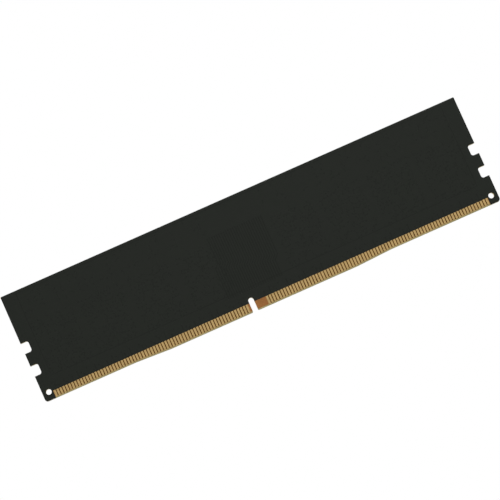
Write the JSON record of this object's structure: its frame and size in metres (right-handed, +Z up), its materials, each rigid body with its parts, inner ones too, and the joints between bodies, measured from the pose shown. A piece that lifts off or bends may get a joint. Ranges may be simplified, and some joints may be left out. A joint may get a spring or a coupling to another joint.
{
  "type": "memory module",
  "caption": "Flat memory module: a black board with gold edge contacts, a key notch, latch notches at both ends and memory packages on its front face.",
  "frame": {"origin": "middle of the contact edge's lowest face, halfway through the board's thickness", "axes": "+X along the board's length, +Y out of the bare back face (the packages face -Y), +Z up from the contact edge to the top edge"},
  "size_m": [0.1334, 0.0025, 0.0312],
  "materials": {
    "laminate": "bare glass-fibre laminate, satin",
    "copper": "copper foil",
    "solder_mask": "black solder mask, satin",
    "gold": "gold plating, soft gloss",
    "mould_compound": "moulded epoxy, fine matt grain",
    "package_carrier": "dark green package substrate",
    "silicon": "ground silicon",
    "resistor_body": "black overglaze",
    "capacitor_ceramic": "fired tan ceramic",
    "solder": "reflowed tin solder, soft gloss",
    "legend_ink": "printed white ink"
  },
  "bodies": {
    "root": {"laminate_core": "laminate", "prepreg_front": "laminate", "prepreg_back": "laminate", "ground_plane": "copper", "power_plane": "copper", "solder_mask_front": "solder_mask", "solder_mask_back": "solder_mask", "contacts_front_long_bank": "gold", "contacts_front_short_bank": "gold", "contacts_back_long_bank": "gold", "contacts_back_short_bank": "gold", "memory_chip_1_carrier": "package_carrier", "memory_chip_1_die": "silicon", "memory_chip_1_body": "mould_compound", "memory_chip_2_carrier": "package_carrier", "memory_chip_2_die": "silicon", "memory_chip_2_body": "mould_compound", "memory_chip_3_carrier": "package_carrier", "memory_chip_3_die": "silicon", "memory_chip_3_body": "mould_compound", "memory_chip_4_carrier": "package_carrier", "memory_chip_4_die": "silicon", "memory_chip_4_body": "mould_compound", "memory_chip_5_carrier": "package_carrier", "memory_chip_5_die": "silicon", "memory_chip_5_body": "mould_compound", "memory_chip_6_carrier": "package_carrier", "memory_chip_6_die": "silicon", "memory_chip_6_body": "mould_compound", "memory_chip_7_carrier": "package_carrier", "memory_chip_7_die": "silicon", "memory_chip_7_body": "mould_compound", "memory_chip_8_carrier": "package_carrier", "memory_chip_8_die": "silicon", "memory_chip_8_body": "mould_compound", "spd_eeprom": "mould_compound", "data_resistors_1a": "resistor_body", "data_resistors_1b": "resistor_body", "data_resistors_2a": "resistor_body", "data_resistors_2b": "resistor_body", "data_resistors_3a": "resistor_body", "data_resistors_3b": "resistor_body", "data_resistors_4a": "resistor_body", "data_resistors_4b": "resistor_body", "data_resistors_5a": "resistor_body", "data_resistors_5b": "resistor_body", "data_resistors_6a": "resistor_body", "data_resistors_6b": "resistor_body", "data_resistors_7a": "resistor_body", "data_resistors_7b": "resistor_body", "data_resistors_8a": "resistor_body", "data_resistors_8b": "resistor_body", "termination_resistors_1": "resistor_body", "termination_resistors_2": "resistor_body", "termination_resistors_3": "resistor_body", "termination_resistors_4": "resistor_body", "bulk_capacitor_1": "capacitor_ceramic", "bulk_capacitor_2": "capacitor_ceramic", "bulk_capacitor_3": "capacitor_ceramic", "bulk_capacitor_4": "capacitor_ceramic"}
  },
  "joints": []
}
